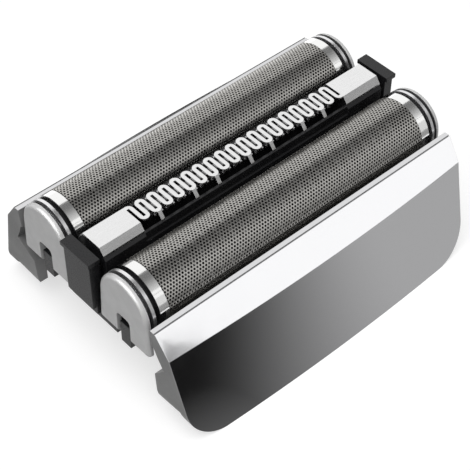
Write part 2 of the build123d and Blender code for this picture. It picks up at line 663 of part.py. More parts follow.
def trimmer_comb():
    """Stamped comb: a plate at each end and a wave of bars between them, with folded fingers."""
    outer = (COMB_TURN_PITCH + COMB_BAR) / 2
    root = COMB_FLAT / 2 - outer
    wave = Sketch()
    for index in range(COMB_TURNS + 1):
        x = turn_x(index) - COMB_TURN_PITCH / 2
        wave += Pos(x, 0) * Rectangle(COMB_BAR, 2 * root)
    for index in range(-1, COMB_TURNS + 1):
        wave += comb_turn(turn_x(index), -1 if index % 2 == 0 else 1)
    for side in (-1, 1):
        x = side * (PLATE_INNER + COMB_BAR / 2)
        wave += Pos(x, -side * root) * Rectangle(COMB_BAR, 2 * outer)
    comb = extrude(Plane.XY.offset(COMB_UNDER) * wave, COMB_SHEET)
    plate = along_x(roof(COMB_TOP, COMB_SHEET), PLATE_INNER, COMB_END)
    comb += both_ends(plate)
    for index in range(COMB_TURNS):
        if has_finger(index):
            comb += comb_finger(turn_x(index), -1 if index % 2 == 0 else 1)
    return comb


SLIDER_END = PLATE_INNER - TRIMMER_STROKE - SLIDE_GAP - COMB_BAR
TOOTH_TOP = COMB_UNDER - RUN_GAP
TOOTH_UNDER = TOOTH_TOP - TOOTH_BLADE_SHEET


def trimmer_blade():
    """Moving blade under the comb: a spine with teeth to both sides."""
    blade = Rectangle(2 * SLIDER_END, BLADE_SPINE)
    reach = int((SLIDER_END - TOOTH_WIDTH / 2) / COMB_TURN_PITCH)
    for index in range(-reach, reach + 1):
        blade += Pos(index * COMB_TURN_PITCH, 0) * Rectangle(TOOTH_WIDTH, COMB_FLAT - 2 * RUN_GAP)
    return extrude(Plane.XY.offset(TOOTH_UNDER) * blade, TOOTH_BLADE_SHEET)


def trimmer_slider():
    """Slider under the moving blade, with a fork for the drive."""
    low = TROUGH_FLOOR_TOP + RUN_GAP
    base = TROUGH_HALF - SLIDE_GAP
    slider = block(-SLIDER_END, SLIDER_END, -base, base, low, low + SLIDER_BASE_HEIGHT)
    slider += block(-SLIDER_END, SLIDER_END, -SLIDER_HEAD_WIDTH / 2, SLIDER_HEAD_WIDTH / 2,
                    low + SLIDER_BASE_HEIGHT, TOOTH_UNDER)
    bottom = DECK_TOP - FORK_DROP
    slider += block(-FORK_LENGTH / 2, FORK_LENGTH / 2, -FORK_WIDTH / 2, FORK_WIDTH / 2, bottom, low)
    return slider - block(-FORK_SLOT / 2, FORK_SLOT / 2, -FORK_WIDTH / 2, FORK_WIDTH / 2,
                          bottom, bottom + FORK_SLOT_DEPTH)


def trimmer_springs():
    """The two return springs below the trimmer."""
    return both_ends(coil(SPRING_X, 0, DECK_TOP, FRAME_BOTTOM + POCKET_DEPTH))


def foil_unit_pieces():
    """Pieces of the rear foil unit, by the name that follows the side."""
    cap = end_cap()
    return {
        "foil": foil(),
        "foil_frame": foil_frame(),
        "cap_right": cap,
        "cap_left": mirror(cap, Plane.YZ),
        "foil_springs": foil_springs(),
        "cutter_blades": cutter_blades(),
        "cutter_carrier": cutter_carrier(),
        "cutter_spring": leaf_spring(),
        "drive_bridge": drive_bridge(),
    }


def main():
    """Write one file for each piece of the head."""
    os.makedirs("parts", exist_ok=True)
    panel = trim_panel()
    pieces = {
        "head_frame": head_frame(),
        "rear_panel": panel,
        "front_panel": half_turn(panel),
        "trimmer_carrier": trimmer_carrier(),
        "trimmer_comb": trimmer_comb(),
        "trimmer_blade": trimmer_blade(),
        "trimmer_slider": trimmer_slider(),
        "trimmer_springs": trimmer_springs(),
    }
    opposite = {"cap_right": "cap_left", "cap_left": "cap_right"}
    for name, piece in foil_unit_pieces().items():
        pieces["rear_" + name] = piece
        pieces["front_" + opposite.get(name, name)] = half_turn(piece)
    for name, piece in pieces.items():
        export_step(piece, "parts/" + name + ".step")


main()
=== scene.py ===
import json
import logging
import math
from dataclasses import dataclass
from enum import Enum
from typing import Callable, Optional, Union

import bmesh
import bpy
from mathutils import Matrix, Quaternion, Vector


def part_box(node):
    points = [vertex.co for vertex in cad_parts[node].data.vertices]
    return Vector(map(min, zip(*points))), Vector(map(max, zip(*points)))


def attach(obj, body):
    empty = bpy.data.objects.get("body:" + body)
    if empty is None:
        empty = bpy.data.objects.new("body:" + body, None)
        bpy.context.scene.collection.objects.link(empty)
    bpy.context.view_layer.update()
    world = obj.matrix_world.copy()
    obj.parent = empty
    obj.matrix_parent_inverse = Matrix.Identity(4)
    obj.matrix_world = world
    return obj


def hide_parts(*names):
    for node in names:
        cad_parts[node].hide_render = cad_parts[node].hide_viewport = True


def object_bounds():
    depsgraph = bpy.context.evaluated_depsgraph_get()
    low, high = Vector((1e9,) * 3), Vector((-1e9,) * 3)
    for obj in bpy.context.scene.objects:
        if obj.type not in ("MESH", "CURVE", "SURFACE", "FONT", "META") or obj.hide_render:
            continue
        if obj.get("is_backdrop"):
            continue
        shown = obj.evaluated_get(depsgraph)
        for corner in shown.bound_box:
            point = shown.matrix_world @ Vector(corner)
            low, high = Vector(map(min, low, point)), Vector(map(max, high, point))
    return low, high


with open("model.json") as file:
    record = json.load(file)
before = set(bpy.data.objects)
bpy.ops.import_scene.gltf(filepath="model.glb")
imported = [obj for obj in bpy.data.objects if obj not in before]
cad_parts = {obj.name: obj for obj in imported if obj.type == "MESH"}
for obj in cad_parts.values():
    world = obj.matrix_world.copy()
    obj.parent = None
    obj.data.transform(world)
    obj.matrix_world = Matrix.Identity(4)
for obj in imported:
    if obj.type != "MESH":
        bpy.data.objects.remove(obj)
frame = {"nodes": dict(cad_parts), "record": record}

# Dresses the shaver foil head. Lengths are metres in the frame of the solids: X along the foils,
# -Y towards the front panel, Z up.

LOG = logging.getLogger("shaver_foil_head")
MM = 0.001
WELD = 0.001 * MM
ENDS = ("left", "right")

Colour = tuple[float, float, float]
Triple = tuple[float, float, float]
Pair = tuple[float, float]
Geometry = list[Union[bmesh.types.BMVert, bmesh.types.BMEdge, bmesh.types.BMFace]]

# The part of a noise's range that is stretched over the whole change.
NARROW_NOISE: Pair = (0.35, 0.65)
WIDE_NOISE: Pair = (0.3, 0.7)
UNIT: Pair = (0.0, 1.0)
BLACK: Colour = (0.0, 0.0, 0.0)
WHITE: Colour = (1.0, 1.0, 1.0)


def grey(tone: float) -> Colour:
    """Neutral colour of one tone."""
    return (tone, tone, tone)


class Side(Enum):
    """The two foil sides of the head."""

    FRONT = "front"
    REAR = "rear"

    def node(self, piece: str) -> str:
        """Name of this side's solid for a piece."""
        return f"{self.value}_{piece}"


# New pieces that have lamps of their own.
PANELS = tuple(side.node("panel_moulding") for side in Side)
FOILS = tuple(side.node("foil_sheet") for side in Side)
CAPS = tuple(side.node(f"cap_{end}_moulding") for side in Side for end in ENDS)


class Seen(Enum):
    """Which rays meet a piece of the studio."""

    ALL = "all"
    MIRRORED = "mirrored"
    UNMIRRORED = "unmirrored"


class NodeBoard:
    """Shader nodes of one material, wired from object coordinates to a principled shader."""

    def __init__(self, name: str) -> None:
        """Starts an empty material.

        Args:
            name: Name of the material.
        """
        self.material = bpy.data.materials.new(name)
        self.material.use_nodes = True
        self.tree = self.material.node_tree
        self.tree.nodes.clear()
        output = self.add("ShaderNodeOutputMaterial")
        self.shader = self.add("ShaderNodeBsdfPrincipled")
        self.link(self.shader.outputs["BSDF"], output.inputs["Surface"])
        self.place = self.add("ShaderNodeTexCoord").outputs["Object"]

    def add(self, kind: str, **settings: object) -> bpy.types.Node:
        """Adds a node.

        Args:
            kind: Type name of the node.
            settings: Properties to set on it.

        Returns:
            The new node.
        """
        node = self.tree.nodes.new(kind)
        for name, value in settings.items():
            setattr(node, name, value)
        return node

    def link(self, source: bpy.types.NodeSocket, target: bpy.types.NodeSocket) -> None:
        """Joins two sockets."""
        self.tree.links.new(source, target)

    def set(self, **values: object) -> None:
        """Sets constants on the shader's own sockets; an underscore stands for a space."""
        for name, value in values.items():
            self.shader.inputs[name.replace("_", " ")].default_value = value

    def colour(self, socket: bpy.types.NodeSocket) -> None:
        """Feeds the shader's base colour."""
        self.link(socket, self.shader.inputs["Base Color"])

    def noise(self, grain: Triple, detail: float = 2.0) -> bpy.types.NodeSocket:
        """Noise with a given grain.

        Args:
            grain: Size of a grain along X, Y and Z.
            detail: Octaves of finer noise.

        Returns:
            The noise value, around one half.
        """
        mapping = self.add("ShaderNodeMapping")
        mapping.inputs["Scale"].default_value = [1.0 / size for size in grain]
        self.link(self.place, mapping.inputs["Vector"])
        noise = self.add("ShaderNodeTexNoise")
        noise.inputs["Scale"].default_value = 1.0
        noise.inputs["Detail"].default_value = detail
        self.link(mapping.outputs["Vector"], noise.inputs["Vector"])
        return noise.outputs["Fac"]

    def along(self, axis: str) -> bpy.types.NodeSocket:
        """Distance from the head's middle along an axis, without its sign.

        Args:
            axis: X, Y or Z.

        Returns:
            The distance.
        """
        split = self.add("ShaderNodeSeparateXYZ")
        self.link(self.place, split.inputs["Vector"])
        distance = self.add("ShaderNodeMath", operation="ABSOLUTE")
        self.link(split.outputs[axis], distance.inputs[0])
        return distance.outputs["Value"]

    def towards(self, way: Triple) -> bpy.types.NodeSocket:
        """Position along a direction.

        Args:
            way: The direction.

        Returns:
            The position, from the head's middle.
        """
        product = self.add("ShaderNodeVectorMath", operation="DOT_PRODUCT")
        self.link(self.place, product.inputs[0])
        product.inputs[1].default_value = way
        return product.outputs["Value"]

    def larger(self, first: bpy.types.NodeSocket, second: bpy.types.NodeSocket,
               ) -> bpy.types.NodeSocket:
        """The larger one of two values.

        Args:
            first: One value.
            second: The other value.

        Returns:
            The larger value.
        """
        node = self.add("ShaderNodeMath", operation="MAXIMUM")
        self.link(first, node.inputs[0])
        self.link(second, node.inputs[1])
        return node.outputs["Value"]

    def span(self, value: bpy.types.NodeSocket, source: Pair, target: Pair, ease: bool = False,
             ) -> bpy.types.NodeSocket:
        """Maps a value from one range to another and clamps it.

        Args:
            value: The value to map.
            source: Range that it comes in.
            target: Range that it leaves in.
            ease: Whether the change starts and ends slowly.

        Returns:
            The mapped value.
        """
        node = self.add("ShaderNodeMapRange", interpolation_type="SMOOTHSTEP" if ease else "LINEAR")
        for name, number in zip(("From Min", "From Max", "To Min", "To Max"), (*source, *target)):
            node.inputs[name].default_value = number
        self.link(value, node.inputs["Value"])
        return node.outputs["Result"]

    def mix(self, factor: bpy.types.NodeSocket, low: Colour, high: Colour,
            base: Optional[bpy.types.NodeSocket] = None) -> bpy.types.NodeSocket:
        """Colour between two colours.

        Args:
            factor: Share of the second colour.
            low: First colour.
            high: Second colour.
            base: Colour that takes the first one's place.

        Returns:
            The mixed colour.
        """
        node = self.add("ShaderNodeMix", data_type="RGBA")
        colours = [socket for socket in node.inputs if socket.type == "RGBA"]
        colours[0].default_value = (*low, 1.0)
        colours[1].default_value = (*high, 1.0)
        if base is not None:
            self.link(base, colours[0])
        self.link(factor, node.inputs["Factor"])
        return next(socket for socket in node.outputs if socket.type == "RGBA")

    def steps(self, value: bpy.types.NodeSocket, stops: list[tuple[float, Colour]],
              ) -> bpy.types.NodeSocket:
        """Colours in fields with sharp borders.

        Args:
            value: Position from 0 to 1.
            stops: Where each field starts, and its colour.

        Returns:
            The colour at the value.
        """
        ramp = self.add("ShaderNodeValToRGB")
        ramp.color_ramp.interpolation = "CONSTANT"
        elements = ramp.color_ramp.elements
        while len(elements) < len(stops):
            elements.new(1.0)
        for element, (position, colour) in zip(elements, stops):
            element.position = position
            element.color = (*colour, 1.0)
        self.link(value, ramp.inputs["Fac"])
        return ramp.outputs["Color"]

    def relief(self, height: bpy.types.NodeSocket, depth: float) -> None:
        """Bumps the surface.

        Args:
            height: Height from 0 to 1.
            depth: Depth of the relief.
        """
        bump = self.add("ShaderNodeBump")
        bump.inputs["Strength"].default_value = 1.0
        bump.inputs["Distance"].default_value = depth
        self.link(height, bump.inputs["Height"])
        self.link(bump.outputs["Normal"], self.shader.inputs["Normal"])


@dataclass(frozen=True)
class MouldedPlastic:
    """Matt moulded plastic with an eroded grain and slow changes of tone."""

    name: str
    colour: Colour
    shade: Colour
    roughness: float = 0.5
    shine: float = 0.5
    grain: float = 0.12 * MM
    depth: float = 0.004 * MM
    cloud: float = 4 * MM
    gloss_swing: float = 0.08
    grain_detail: float = 3.0

    def board(self) -> NodeBoard:
        """Wires the tone, gloss and grain.

        Returns:
            The board of the new material.
        """
        board = NodeBoard(self.name)
        board.set(Specular_IOR_Level=self.shine)
        slow = board.noise((self.cloud,) * 3)
        board.colour(board.mix(board.span(slow, NARROW_NOISE, UNIT), self.shade, self.colour))
        fine = board.noise((self.grain,) * 3, self.grain_detail)
        gloss = board.span(fine, WIDE_NOISE, (self.roughness - self.gloss_swing,
                                              self.roughness + self.gloss_swing))
        board.link(gloss, board.shader.inputs["Roughness"])
        board.relief(fine, self.depth)
        return board

    def material(self) -> bpy.types.Material:
        """The finished material."""
        return self.board().material


@dataclass(frozen=True)
class CapPlastic(MouldedPlastic):
    """Cap moulding with a polished ring, a recess painted near-black as painted shade, and a matt
    plate, in that order along X.
    """

    ring: Colour = (0.86, 0.86, 0.87)
    # Near-black painted shade for the recess between ring and plate; also the dark colour that the
    # random patches mix towards.
    painted_groove_shade_and_mottle: Colour = (0.008, 0.008, 0.009)
    start: float = 21.85 * MM
    ring_width: float = 0.4 * MM
    groove_width: float = 0.45 * MM
    plate_width: float = 0.65 * MM
    mottle: float = 0.08
    patch: float = 1.5 * MM
    ring_roughness: float = 0.3
    groove_roughness: float = 0.7

    def material(self) -> bpy.types.Material:
        """The plastic's board with the fields along X added.

        Returns:
            The finished material.
        """
        board = self.board()
        whole = self.ring_width + self.groove_width + self.plate_width
        groove_at = self.ring_width / whole
        plate_at = (self.ring_width + self.groove_width) / whole
        position = board.span(board.along("X"), (self.start, self.start + whole), UNIT)
        # The recess between ring and plate is painted near-black: painted shade, not the plastic's
        # own colour.
        fields = [(0.0, self.ring), (groove_at, self.painted_groove_shade_and_mottle), (plate_at, self.colour)]
        patches = board.span(board.noise((self.patch,) * 3), NARROW_NOISE, (0, self.mottle))
        board.colour(board.mix(patches, self.colour, self.painted_groove_shade_and_mottle, board.steps(position, fields)))
        bright = [(0.0, WHITE), (groove_at, BLACK), (plate_at, BLACK)]
        board.link(board.steps(position, bright), board.shader.inputs["Metallic"])
        gloss = [(0.0, (self.ring_roughness,) * 3), (groove_at, (self.groove_roughness,) * 3),
                 (plate_at, (self.roughness,) * 3)]
        board.link(board.steps(position, gloss), board.shader.inputs["Roughness"])
        return board.material


@dataclass(frozen=True)
class SilverLacquer:
    """Silver lacquer on smooth plastic: fine flake under a clear gloss."""

    name: str
    colour: Colour
    shade: Colour
    roughness: float = 0.12
    flake: float = 0.05 * MM
    depth: float = 0.0006 * MM
    cloud: float = 3 * MM
    gloss_swing: float = 0.02
    ripple: float = 1.2 * MM
    detail: float = 1.0

    def material(self) -> bpy.types.Material:
        """Wires flake, gloss and a faint waviness.

        Returns:
            The finished material.
        """
        board = NodeBoard(self.name)
        board.set(Metallic=1.0)
        flake = board.noise((self.flake,) * 3, self.detail)
        board.colour(board.mix(board.span(flake, WIDE_NOISE, UNIT), self.shade, self.colour))
        slow = board.noise((self.cloud,) * 3)
        gloss = board.span(slow, WIDE_NOISE, (self.roughness - self.gloss_swing,
                                              self.roughness + self.gloss_swing))
        board.link(gloss, board.shader.inputs["Roughness"])
        board.relief(board.noise((self.ripple,) * 3, self.detail), self.depth)
        return board.material


@dataclass(frozen=True)
class RolledSteel:
    """Steel with a fine grain drawn out along one direction."""

    name: str
    colour: Colour
    shade: Colour
    roughness: float
    gloss_swing: float = 0.05
    grain: Triple = (2.0 * MM, 0.05 * MM, 0.05 * MM)
    depth: float = 0.0008 * MM
    border_at: Optional[float] = None
    border_colour: Colour = (0.93, 0.93, 0.92)
    border_roughness: float = 0.14
    border_fade: float = 0.02 * MM

    def material(self) -> bpy.types.Material:
        """Wires tone, gloss and grain, and a smoother, brighter border beyond border_at along X.

        Returns:
            The finished material.
        """
        board = NodeBoard(self.name)
        board.set(Metallic=1.0)
        drawn = board.noise(self.grain)
        tone = board.mix(board.span(drawn, WIDE_NOISE, UNIT), self.shade, self.colour)
        gloss = board.span(drawn, WIDE_NOISE, (self.roughness - self.gloss_swing,
                                               self.roughness + self.gloss_swing))
        if self.border_at is not None:
            edge = (self.border_at - self.border_fade, self.border_at + self.border_fade)
            share = board.span(board.along("X"), edge, UNIT)
            tone = board.mix(share, self.colour, self.border_colour, tone)
            choose = board.add("ShaderNodeMix", data_type="FLOAT")
            board.link(share, choose.inputs["Factor"])
            board.link(gloss, choose.inputs["A"])
            choose.inputs["B"].default_value = self.border_roughness
            gloss = choose.outputs["Result"]
        board.colour(tone)
        board.link(gloss, board.shader.inputs["Roughness"])
        board.relief(drawn, self.depth)
        return board.material


class Wardrobe:
    """The finishes of the head, each made once."""

    def __init__(self) -> None:
        """Makes every material."""
        foil_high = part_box(Side.FRONT.node("foil"))[1]
        cap_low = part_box(Side.REAR.node("cap_right"))[0]
        finishes = (
            SilverLacquer("panel_silver", (0.74, 0.74, 0.75), (0.69, 0.69, 0.70)),
            MouldedPlastic("panel_bare", grey(0.25), grey(0.20), roughness=0.4),
            CapPlastic("cap_grey", grey(0.63), grey(0.59), roughness=0.32, shine=1.0,
                       depth=0.0012 * MM, start=cap_low.x),
            MouldedPlastic("frame_black", (0.016, 0.016, 0.017), (0.011, 0.011, 0.012),
                           roughness=0.30, shine=0.35),
            MouldedPlastic("cutter_plastic", (0.05, 0.05, 0.052), (0.03, 0.03, 0.031)),
            RolledSteel("foil_steel", (0.50, 0.49, 0.465), (0.44, 0.43, 0.41), roughness=0.30,
                        border_at=foil_high.x - PerforatedFoil.band),
            RolledSteel("comb_steel", grey(0.88), grey(0.80), roughness=0.22),
            RolledSteel("blade_steel", grey(0.50), (0.40, 0.40, 0.41), roughness=0.32,
                        grain=(0.05 * MM, 0.05 * MM, 1.0 * MM)),
            RolledSteel("spring_steel", (0.55, 0.55, 0.56), (0.45, 0.45, 0.46), roughness=0.3,
                        grain=(0.2 * MM, 0.2 * MM, 0.2 * MM)),
        )
        self.materials = {finish.name: finish.material() for finish in finishes}
        self.slots = {part["node"]: part["material_slot"] for part in frame["record"]["subparts"]}

    def dress_node(self, node: str) -> None:
        """Gives a solid the finish of its slot.

        Args:
            node: Name of the solid.
        """
        slots = frame["nodes"][node].data.materials
        slots.clear()
        slots.append(self.materials[self.slots[node]])

    def dress_piece(self, piece: bpy.types.Object, node: str) -> None:
        """Gives a new piece the finish of the solid that it stands for.

        Args:
            piece: The new piece.
            node: Name of the solid.
        """
        piece.data.materials.append(self.materials[self.slots[node]])


def body_of(node: str) -> str:
    """Name of the moving body that a solid belongs to."""
    bodies = frame["record"]["behaviour"]["bodies"]
    return next(body for body, nodes in bodies.items() if node in nodes)


class Piece:
    """A new mesh that stands for one solid and moves with its body."""

    crease: float = math.radians(35)

    def publish(self, mesh: bmesh.types.BMesh, name: str, node: str, wardrobe: Wardrobe,
                ) -> bpy.types.Object:
        """Turns a finished bmesh into a dressed object.

        Args:
            mesh: The bmesh, in its place; it is freed.
            name: Name of the new object.
            node: Solid that it stands for.
            wardrobe: Finishes to dress it from.

        Returns:
            The new object.
        """
        data = bpy.data.meshes.new(name)
        mesh.to_mesh(data)
        mesh.free()
        data.shade_smooth()
        data.set_sharp_from_angle(angle=self.crease)
        piece = bpy.data.objects.new(name, data)
        bpy.context.scene.collection.objects.link(piece)
        wardrobe.dress_piece(piece, node)
        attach(piece, body_of(node))
        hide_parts(node)
        LOG.info("%s: %d faces, for %s", name, len(data.polygons), node)
        return piece


@dataclass
class SoftenedSolid(Piece):
    """A solid with its sharp edges broken, as moulding or tumbling leaves them."""

    node: str
    name: str
    width: float
    segments: int = 2
    crease: float = math.radians(12)
    flat: float = math.radians(0.3)

    def build(self) -> bmesh.types.BMesh:
        """Copies the solid's mesh, joins its flat faces and bevels its edges.

        Returns:
            The softened mesh.
        """
        mesh = bmesh.new()
        mesh.from_mesh(frame["nodes"][self.node].data)
        bmesh.ops.remove_doubles(mesh, verts=mesh.verts[:], dist=WELD)
        bmesh.ops.dissolve_limit(mesh, angle_limit=self.flat, verts=mesh.verts[:],
                                 edges=mesh.edges[:])
        edges = [edge for edge in mesh.edges
                 if edge.is_manifold and edge.calc_face_angle(0.0) > self.crease]
        bmesh.ops.bevel(mesh, geom=edges, offset=self.width, offset_type="OFFSET", affect="EDGES",
                        segments=self.segments, profile=0.5, clamp_overlap=True, material=-1)
        return mesh

    def make(self, wardrobe: Wardrobe) -> bpy.types.Object:
        """Builds and dresses the piece, and shades its flat faces evenly.

        Args:
            wardrobe: Finishes to dress it from.

        Returns:
            The new object.
        """
        piece = self.publish(self.build(), self.name, self.node, wardrobe)
        piece.modifiers.new("even_shading", "WEIGHTED_NORMAL").keep_sharp = True
        return piece


@dataclass
class PanelMoulding(SoftenedSolid):
    """A trim panel: lacquered outside, bare plastic on its ends and inside."""

    end_slope: float = 0.8
    inside_slope: float = 0.05
    under_slope: float = 0.5

    def build(self) -> bmesh.types.BMesh:
        """Softens the solid and marks the faces that have no lacquer.

        Returns:
            The softened mesh.
        """
        mesh = super().build()
        mesh.normal_update()
        low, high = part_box(self.node)
        outwards = math.copysign(1.0, low.y + high.y)
        for face in mesh.faces:
            inside = face.normal.y * outwards < -self.inside_slope
            if inside or face.normal.z < -self.under_slope or abs(face.normal.x) > self.end_slope:
                face.material_index = 1
        return mesh

    def make(self, wardrobe: Wardrobe) -> bpy.types.Object:
        """Builds the panel and dresses both of its finishes.

        Args:
            wardrobe: Finishes to dress it from.

        Returns:
            The new object.
        """
        piece = super().make(wardrobe)
        piece.data.materials.append(wardrobe.materials["panel_bare"])
        return piece


@dataclass
class PerforatedFoil(Piece):
    """A shaving foil: hexagonal holes inside a plain border, bent over a half round."""

    side: Side
    band: float = 1.25 * MM
    notch: float = 0.7 * MM
    notch_rise: float = 1.0 * MM
    border_sheet: float = 0.2 * MM
    pitch: float = 0.42 * MM
    bar: float = 0.145 * MM
    sheet: float = 0.08 * MM
    sink: float = 0.01 * MM
    plain_edge: float = 0.35 * MM
    bend_step: float = 0.5 * MM
    weld_share: float = 0.02

    def __post_init__(self) -> None:
        """Reads the foil's sizes from its solid."""
        low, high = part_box(self.side.node("foil"))
        self.radius = (high.y - low.y) / 2
        self.axis_y = (high.y + low.y) / 2
        self.axis_z = high.z - self.radius
        self.end = high.x
        self.skirt = self.axis_z - low.z
        self.quarter = self.radius * math.pi / 2

    def bend(self, mesh: bmesh.types.BMesh, radius: float) -> None:
        """Bends a flat mesh, whose Y is the way round the foil, over the half round.

        Args:
            mesh: Flat mesh with its normals up.
            radius: Radius of the outer face.
        """
        for vertex in mesh.verts:
            way = vertex.co.y
            angle = max(-math.pi / 2, min(math.pi / 2, way / self.radius))
            straight = max(0.0, abs(way) - self.quarter)
            vertex.co.y = self.axis_y + radius * math.sin(angle)
            vertex.co.z = self.axis_z + radius * math.cos(angle) - straight

    def thicken(self, mesh: bmesh.types.BMesh, sheet: float) -> None:
        """Gives a bent sheet its thickness, inwards."""
        mesh.normal_update()
        bmesh.ops.solidify(mesh, geom=mesh.faces[:], thickness=sheet)

    def border(self) -> bmesh.types.BMesh:
        """Plain frame round the holes, with notched corners.

        Returns:
            The bent border.
        """
        reach = self.quarter + self.skirt
        mesh = bmesh.new()
        steps = int(2 * reach / self.bend_step)
        bmesh.ops.create_grid(mesh, x_segments=1, y_segments=steps, size=1.0)
        bmesh.ops.scale(mesh, vec=(self.end, reach, 1.0), verts=mesh.verts[:])
        inner = self.end - self.band
        window = self.quarter - self.plain_edge
        corner = self.quarter - self.notch_rise
        cuts = [(x, 0) for x in (-inner, inner, -self.end + self.notch, self.end - self.notch)]
        cuts += [(y, 1) for y in (-window, window, -corner, corner)]
        for place, axis in cuts:
            normal = Vector((0, 0, 0))
            normal[axis] = 1.0
            bmesh.ops.bisect_plane(mesh, geom=mesh.verts[:] + mesh.edges[:] + mesh.faces[:],
                                   dist=WELD, plane_co=normal * place, plane_no=normal)
        hole = []
        for face in mesh.faces:
            centre = face.calc_center_median()
            inside = abs(centre.x) < inner and abs(centre.y) < window
            notched = abs(centre.x) > self.end - self.notch and abs(centre.y) > corner
            if inside or notched:
                hole.append(face)
        bmesh.ops.delete(mesh, geom=hole, context="FACES")
        self.bend(mesh, self.radius)
        self.thicken(mesh, self.border_sheet)
        return mesh

    def honeycomb(self) -> bmesh.types.BMesh:
        """Sheet of hexagonal holes that reaches a little under the border.

        Returns:
            The bent sheet.
        """
        mesh = bmesh.new()
        cell_radius = self.pitch / math.sqrt(3)
        row_step = 1.5 * cell_radius
        # Spare columns and rows reach under the border.
        columns = 2 * int((self.end - self.band) / self.pitch) + 2
        rows = 2 * int((self.quarter - self.plain_edge) / row_step) + 3
        bmesh.ops.create_circle(mesh, cap_ends=True, segments=6, radius=cell_radius)
        cell = mesh.verts[:] + mesh.edges[:] + mesh.faces[:]
        self.repeat(mesh, cell, columns, lambda index: Vector((index * self.pitch, 0, 0)))
        row = mesh.verts[:] + mesh.edges[:] + mesh.faces[:]
        self.repeat(mesh, row, rows, lambda index: Vector((index % 2 * self.pitch / 2,
                                                           index * row_step, 0)))
        middle = Vector(((columns - 0.5) * self.pitch / 2, (rows - 1) * row_step / 2, 0))
        bmesh.ops.translate(mesh, verts=mesh.verts[:], vec=-middle + Vector((self.pitch / 2, 0, 0)))
        bmesh.ops.remove_doubles(mesh, verts=mesh.verts[:], dist=self.pitch * self.weld_share)
        holes = mesh.faces[:]
        bmesh.ops.inset_individual(mesh, faces=holes, thickness=self.bar / 2, use_even_offset=True)
        bmesh.ops.delete(mesh, geom=holes, context="FACES")
        self.bend(mesh, self.radius - self.sink)
        self.thicken(mesh, self.sheet)
        return mesh

    @staticmethod
    def repeat(mesh: bmesh.types.BMesh, first: Geometry, count: int,
               step: Callable[[int], Vector]) -> None:
        """Copies some geometry side by side.

        Args:
            mesh: Mesh that holds it.
            first: The geometry to copy.
            count: How many there are in all.
            step: Gives the shift of a copy from its index.
        """
        for index in range(1, count):
            copy = bmesh.ops.duplicate(mesh, geom=first)["geom"]
            vertices = [item for item in copy if isinstance(item, bmesh.types.BMVert)]
            bmesh.ops.translate(mesh, verts=vertices, vec=step(index))

    def make(self, wardrobe: Wardrobe) -> bpy.types.Object:
        """Builds border and holes as one piece and dresses it.

        Args:
            wardrobe: Finishes to dress it from.

        Returns:
            The new object.
        """
        mesh = self.border()
        holes = self.honeycomb()
        sheet = bpy.data.meshes.new("holes")
        holes.to_mesh(sheet)
        holes.free()
        mesh.from_mesh(sheet)
        bpy.data.meshes.remove(sheet)
        node = self.side.node("foil")
        return self.publish(mesh, node + "_sheet", node, wardrobe)


@dataclass(frozen=True)
class Softbox:
    """A rectangular lamp that faces the head.

    Azimuth 0 is the front and turns towards +X, in degrees. A radiance of 1 is white.
    """

    name: str
    azimuth: float
    elevation: float
    distance: float
    size: Pair
    radiance: float
    seen: Seen
    lit: tuple[str, ...] = ()

    def hang(self) -> None:
        """Hangs the lamp, which lights only the lit pieces where any are named."""
        lamp = bpy.data.lights.new(self.name, "AREA")
        lamp.shape = "RECTANGLE"
        lamp.size, lamp.size_y = self.size
        lamp.energy = self.radiance * math.pi * self.size[0] * self.size[1]
        holder = bpy.data.objects.new(self.name, lamp)
        bpy.context.scene.collection.objects.link(holder)
        turn = math.radians(self.azimuth)
        rise = math.radians(self.elevation)
        way = Vector((math.sin(turn) * math.cos(rise), -math.cos(turn) * math.cos(rise),
                      math.sin(rise)))
        holder.location = way * self.distance
        holder.rotation_euler = way.to_track_quat("Z", "Y").to_euler()
        holder.visible_camera = False
        holder.visible_diffuse = self.seen is not Seen.MIRRORED
        holder.visible_glossy = self.seen is not Seen.UNMIRRORED
        if self.lit:
            pieces = bpy.data.collections.new(self.name + "_lit")
            for name in self.lit:
                pieces.objects.link(bpy.data.objects[name])
            holder.light_linking.receiver_collection = pieces


